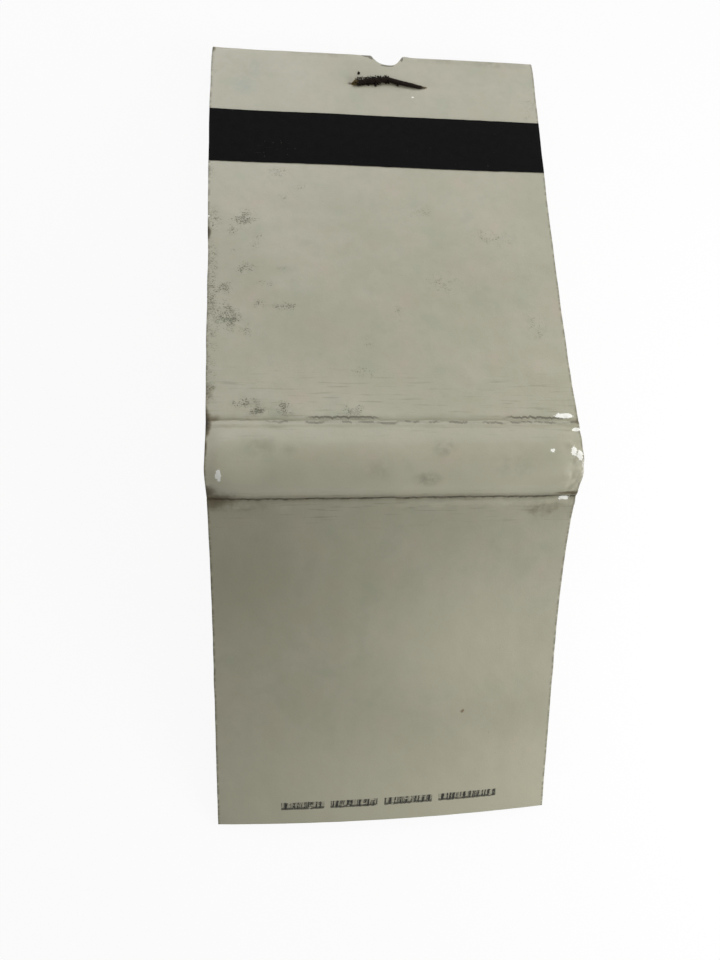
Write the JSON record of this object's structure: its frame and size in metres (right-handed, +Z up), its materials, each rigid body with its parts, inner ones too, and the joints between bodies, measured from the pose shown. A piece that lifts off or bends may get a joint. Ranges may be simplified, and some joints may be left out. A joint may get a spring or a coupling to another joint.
{
  "type": "matchbook",
  "caption": "Opened-out folded-card matchbook standing as a low tent, with a dark striker strip, a wire staple and paper matches inside.",
  "frame": {"origin": "centre of the footprint, on the surface that the tent stands on", "axes": "+X across the book, +Y towards the bottom fold, +Z up"},
  "size_m": [0.038, 0.0898, 0.0156],
  "materials": {
    "card": "satin",
    "striker": "matte",
    "match_card": "matte",
    "match_head": "matte",
    "staple_wire": "matte"
  },
  "bodies": {
    "back": {"back_cover": "card", "striker_strip": "striker", "rear_comb": "match_card", "front_comb": "match_card", "rear_head_1": "match_head", "front_head_1": "match_head", "rear_head_2": "match_head", "front_head_2": "match_head", "rear_head_3": "match_head", "front_head_3": "match_head", "rear_head_4": "match_head", "front_head_4": "match_head", "rear_head_5": "match_head", "front_head_5": "match_head", "rear_head_6": "match_head", "front_head_6": "match_head", "rear_head_7": "match_head", "front_head_7": "match_head", "rear_head_8": "match_head", "front_head_8": "match_head", "rear_head_9": "match_head", "front_head_9": "match_head", "rear_head_10": "match_head", "front_head_10": "match_head", "staple": "staple_wire"},
    "saddle": {"saddle": "card"},
    "front": {"front_cover": "card"}
  },
  "joints": [
    {"name": "rear_crease", "type": "hinge", "parent": "back", "child": "saddle", "pos_m": [0, -0.00015, 0.01403], "axis": [1, 0, 0], "range_deg": [-22, 68]},
    {"name": "front_crease", "type": "hinge", "parent": "saddle", "child": "front", "pos_m": [0, -0.00759, 0.01305], "axis": [1, 0, 0], "range_deg": [-11.7, 84.7]}
  ]
}
